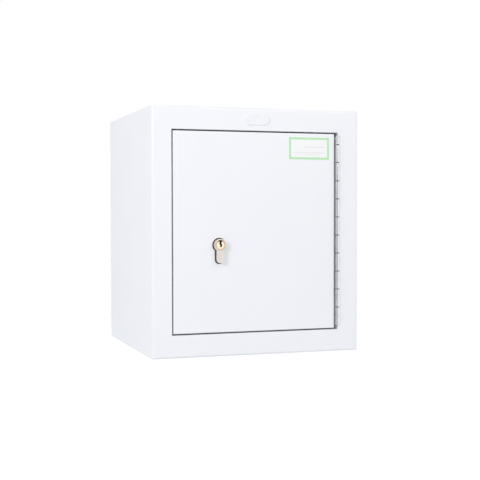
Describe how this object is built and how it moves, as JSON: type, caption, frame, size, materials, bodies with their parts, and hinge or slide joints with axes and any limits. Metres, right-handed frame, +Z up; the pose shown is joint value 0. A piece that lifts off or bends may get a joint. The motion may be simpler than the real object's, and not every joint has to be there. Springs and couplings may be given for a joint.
{
  "type": "lockable medicine cabinet",
  "caption": "Small wall-hung steel cabinet with an inset door, a full-length piano hinge and a key lock that throws bolts to the side, up and down.",
  "frame": {"origin": "centre of the back, where the cabinet meets the wall", "axes": "+X to the right seen from the front, +Y back into the wall, +Z up; the door faces -Y"},
  "size_m": [0.3, 0.2878, 0.34],
  "materials": {
    "white_paint": "satin powder coat",
    "white_plastic": "satin",
    "black_rubber": "matt",
    "hinge_zinc": "bright zinc",
    "zinc": "zinc plated",
    "steel": "bright steel",
    "nickel": "satin nickel",
    "brass": "bright",
    "nylon": "natural nylon",
    "sign_print": "printed film"
  },
  "bodies": {
    "cabinet": {"cabinet_shell": "white_paint", "rebate_frame": "white_paint", "back_panel": "white_paint", "shelf_angles": "white_paint", "shelf": "white_paint", "blanking_plug": "white_plastic", "door_buffers": "black_rubber", "hinge_frame_leaf": "hinge_zinc", "hinge_frame_rivets": "zinc", "hinge_pin": "steel"},
    "door": {"hinge_door_leaf": "hinge_zinc", "hinge_door_rivets": "zinc", "door_pan": "white_paint", "door_liner": "white_paint", "liner_rivets": "zinc", "sign_plate": "sign_print", "lock_case": "zinc", "lock_cover": "zinc", "lock_screws": "zinc", "lock_nuts": "zinc", "wheel_arbor": "steel", "rod_guides": "nylon", "guide_screws": "zinc", "cylinder_body": "nickel", "cylinder_screw": "zinc"},
    "barrel": {"cylinder_barrel": "brass", "cam_gear": "steel", "barrel_clip": "steel"},
    "gear_wheel": {"drive_wheel": "steel", "drive_pinion": "brass"},
    "side_bolt": {"side_bolt": "steel"},
    "top_bolt": {"top_bolt": "steel"},
    "bottom_bolt": {"bottom_bolt": "steel"}
  },
  "joints": [
    {"name": "door_swing", "type": "hinge", "parent": "cabinet", "child": "door", "pos_m": [0.1181, -0.2844, 0], "axis": [0, 0, 1], "range_deg": [0, 180]},
    {"name": "key_turn", "type": "hinge", "parent": "door", "child": "barrel", "pos_m": [-0.0562, -0.254, -0.0175], "axis": [0, -1, 0], "range_deg": [0, 360.1]},
    {"name": "wheel_turn", "type": "hinge", "parent": "door", "child": "gear_wheel", "pos_m": [-0.08082, -0.254, -0.01316], "axis": [0, 1, 0], "range_deg": [0, 120.1]},
    {"name": "side_bolt_throw", "type": "slide", "parent": "door", "child": "side_bolt", "axis": [-1, 0, 0], "range_m": [0, 0.01309]},
    {"name": "top_bolt_throw", "type": "slide", "parent": "door", "child": "top_bolt", "axis": [0, 0, 1], "range_m": [0, 0.01309]},
    {"name": "bottom_bolt_throw", "type": "slide", "parent": "door", "child": "bottom_bolt", "axis": [0, 0, -1], "range_m": [0, 0.01309]}
  ],
  "couplings": [
    {"joint": "key_turn", "follows": "side_bolt_throw", "rad_per_m": 480},
    {"joint": "wheel_turn", "follows": "side_bolt_throw", "rad_per_m": 160},
    {"joint": "top_bolt_throw", "follows": "side_bolt_throw", "ratio": 1},
    {"joint": "bottom_bolt_throw", "follows": "side_bolt_throw", "ratio": 1}
  ]
}
